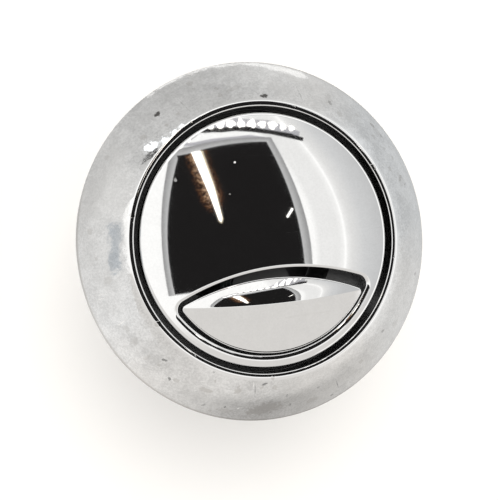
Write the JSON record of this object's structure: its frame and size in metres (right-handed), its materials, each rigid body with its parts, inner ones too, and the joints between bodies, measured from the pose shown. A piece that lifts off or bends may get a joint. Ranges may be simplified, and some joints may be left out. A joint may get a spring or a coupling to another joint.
{
  "type": "push button cistern actuator",
  "caption": "Round chromed push button for a cistern lid, with a domed full flush button, a pointed oval half flush button, a threaded barrel, backnut and push rods.",
  "frame": {"origin": "on the button's axis, on the seal's lower face, which is the cistern lid's top face", "axes": "+Z out of the lid along the axis, -Y towards the half flush button, +X to the right"},
  "size_m": [0.073, 0.073, 0.0859],
  "materials": {
    "chrome_plate": "mirror chrome on ABS",
    "body_plastic": "moulded ABS",
    "guide_plastic": "moulded acetal",
    "washer_plastic": "moulded",
    "nut_plastic": "moulded",
    "full_rod_plastic": "moulded acetal",
    "half_rod_plastic": "moulded acetal",
    "seal_rubber": "matt",
    "spring_steel": "drawn wire",
    "zinc_steel": "zinc plated"
  },
  "bodies": {
    "fixed": {"bezel": "chrome_plate", "housing": "body_plastic", "lid_seal": "seal_rubber", "guide_plate": "guide_plastic", "guide_plate_screws": "zinc_steel", "full_return_spring": "spring_steel", "half_return_spring": "spring_steel"},
    "clamp_washer": {"clamp_washer": "washer_plastic"},
    "backnut": {"backnut": "nut_plastic"},
    "full_flush": {"full_flush_button": "chrome_plate", "full_flush_carrier": "guide_plastic", "full_push_rod": "full_rod_plastic", "full_rod_locknut": "full_rod_plastic", "full_rod_foot": "full_rod_plastic", "full_retaining_clip": "spring_steel"},
    "half_flush": {"half_flush_button": "chrome_plate", "half_flush_carrier": "guide_plastic", "half_push_rod": "half_rod_plastic", "half_rod_locknut": "half_rod_plastic", "half_rod_foot": "half_rod_plastic", "half_retaining_clip": "spring_steel"}
  },
  "joints": [
    {"name": "full_flush_press", "type": "slide", "parent": "fixed", "child": "full_flush", "axis": [0, 0, -1], "range_m": [0, 0.005], "stiffness_N_per_m": 400, "springref_m": -0.008, "deforming": ["full_return_spring"]},
    {"name": "half_flush_press", "type": "slide", "parent": "fixed", "child": "half_flush", "axis": [0, 0, -1], "range_m": [0, 0.005], "stiffness_N_per_m": 400, "springref_m": -0.008, "deforming": ["half_return_spring"]},
    {"name": "clamp_washer_slide", "type": "slide", "parent": "fixed", "child": "clamp_washer", "axis": [0, 0, 1], "range_m": [-0.0201, 0.0054]},
    {"name": "backnut_turn", "type": "hinge", "parent": "clamp_washer", "child": "backnut", "pos_m": [0, 0, -0.0189], "axis": [0, 0, 1], "range_deg": [-2412, 648]}
  ],
  "couplings": [
    {"joint": "backnut_turn", "follows": "clamp_washer_slide", "rad_per_m": 2094.4}
  ]
}
